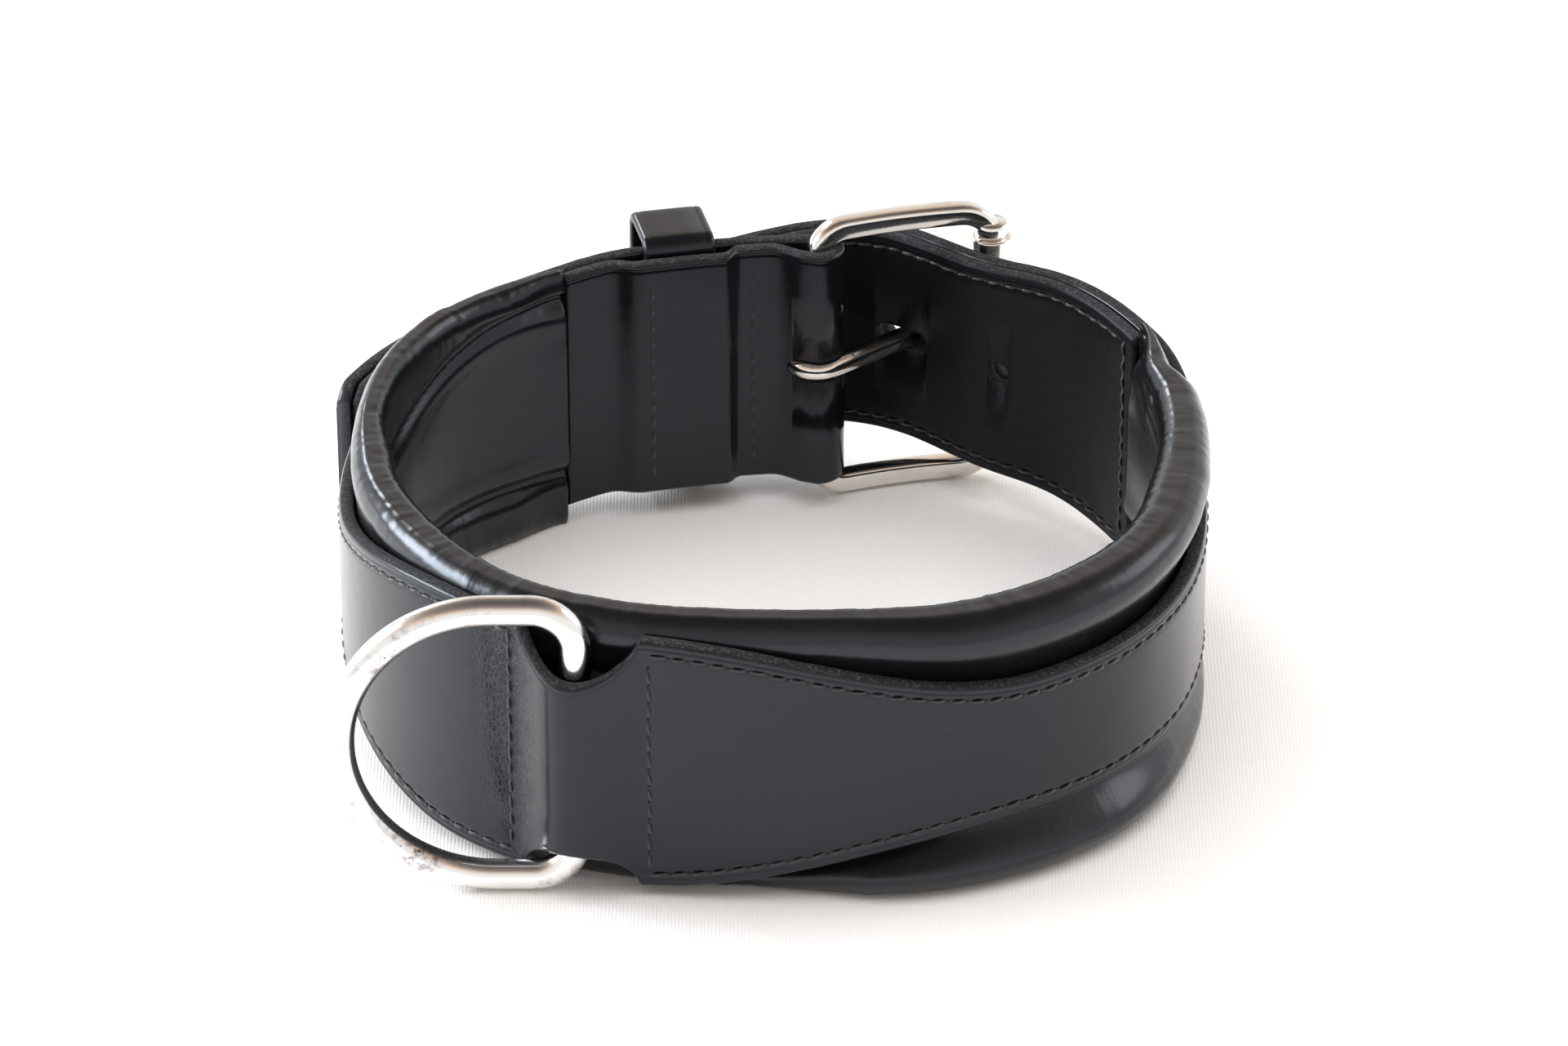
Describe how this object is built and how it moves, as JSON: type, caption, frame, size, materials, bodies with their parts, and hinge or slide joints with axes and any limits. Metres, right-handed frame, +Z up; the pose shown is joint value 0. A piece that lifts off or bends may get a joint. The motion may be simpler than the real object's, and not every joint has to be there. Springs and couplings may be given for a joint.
{
  "type": "padded dog collar",
  "caption": "Wide padded leather dog collar with a roller buckle, a keeper loop and a large welded D-ring held under a notched tab.",
  "frame": {"origin": "centre of the collar as seen from above, on the surface that it stands on", "axes": "+Z up along the collar's width, +Y towards the buckle, -X towards the leash ring"},
  "size_m": [0.1622, 0.1662, 0.0603],
  "materials": {
    "bridle_leather": "glossy waxed bridle leather",
    "lining_leather": "satin soft leather with fine wrinkles",
    "felt": "dense wool felt",
    "steel": "nickel plate, lightly tarnished",
    "thread": "waxed linen thread"
  },
  "bodies": {
    "collar": {"main_strap": "bridle_leather", "billet_liner": "bridle_leather", "padding_felt": "felt", "padded_lining": "lining_leather", "keeper_loop": "bridle_leather", "front_upper_thread": "thread", "front_lower_thread": "thread", "ring_front_thread": "thread", "ring_rear_thread": "thread", "side_upper_thread": "thread", "side_lower_thread": "thread", "keeper_front_thread": "thread", "keeper_rear_thread": "thread", "billet_upper_thread": "thread", "billet_lower_thread": "thread", "billet_tip_thread": "thread", "pad_end_thread": "thread"},
    "ring": {"d_ring": "steel"},
    "frame": {"buckle_frame": "steel"},
    "roller": {"buckle_roller": "steel"},
    "prong": {"buckle_prong": "steel"}
  },
  "joints": [
    {"name": "ring_swing", "type": "hinge", "parent": "collar", "child": "ring", "pos_m": [-0.03378, -0.07699, 0.0303], "axis": [0, 0, 1], "range_deg": [0, 135]},
    {"name": "frame_pivot", "type": "hinge", "parent": "collar", "child": "frame", "pos_m": [0.00896, 0.06352, 0.0303], "axis": [0, 0, 1], "range_deg": [0, 4]},
    {"name": "prong_pivot", "type": "hinge", "parent": "frame", "child": "prong", "pos_m": [0.00896, 0.06352, 0.0303], "axis": [0, 0, 1], "range_deg": [0, 4]},
    {"name": "roller_spin", "type": "hinge", "parent": "frame", "child": "roller", "pos_m": [0.04254, 0.07227, 0.0303], "axis": [0, 0, 1], "continuous": true}
  ]
}
